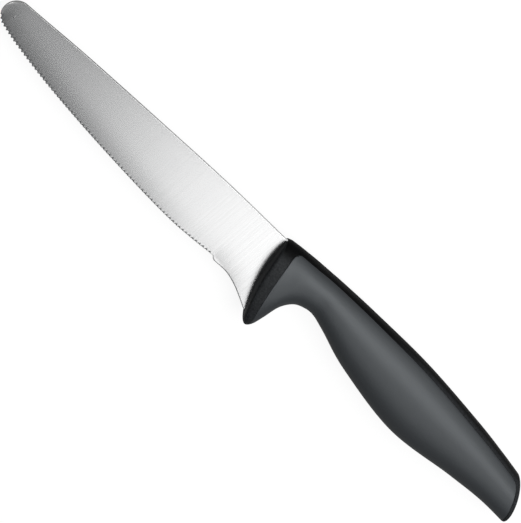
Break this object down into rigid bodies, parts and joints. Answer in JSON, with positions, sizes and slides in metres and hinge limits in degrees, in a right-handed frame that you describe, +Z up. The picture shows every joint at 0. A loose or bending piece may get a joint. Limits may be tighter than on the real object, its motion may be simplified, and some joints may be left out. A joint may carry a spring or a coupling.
{
  "type": "sandwich knife",
  "caption": "Sandwich knife with a broad, round-tipped, finely serrated steel blade and a contoured black handle with a finger guard and a soft grey grip.",
  "frame": {"origin": "centre of the knife's box, on the surface that it lies on", "axes": "+X along the knife from its tip to its butt, +Y from the cutting edge to the spine, +Z up out of the flat side that faces the viewer"},
  "size_m": [0.2378, 0.0332, 0.0162],
  "materials": {
    "satin_steel": "satin, ground across the blade from spine to edge",
    "black_plastic": "hard, finely grained, slight sheen",
    "soft_grey": "soft-touch thermoplastic rubber, silky matt"
  },
  "bodies": {
    "root": {"blade": "satin_steel", "handle_core": "black_plastic", "soft_grip": "soft_grey"}
  },
  "joints": []
}
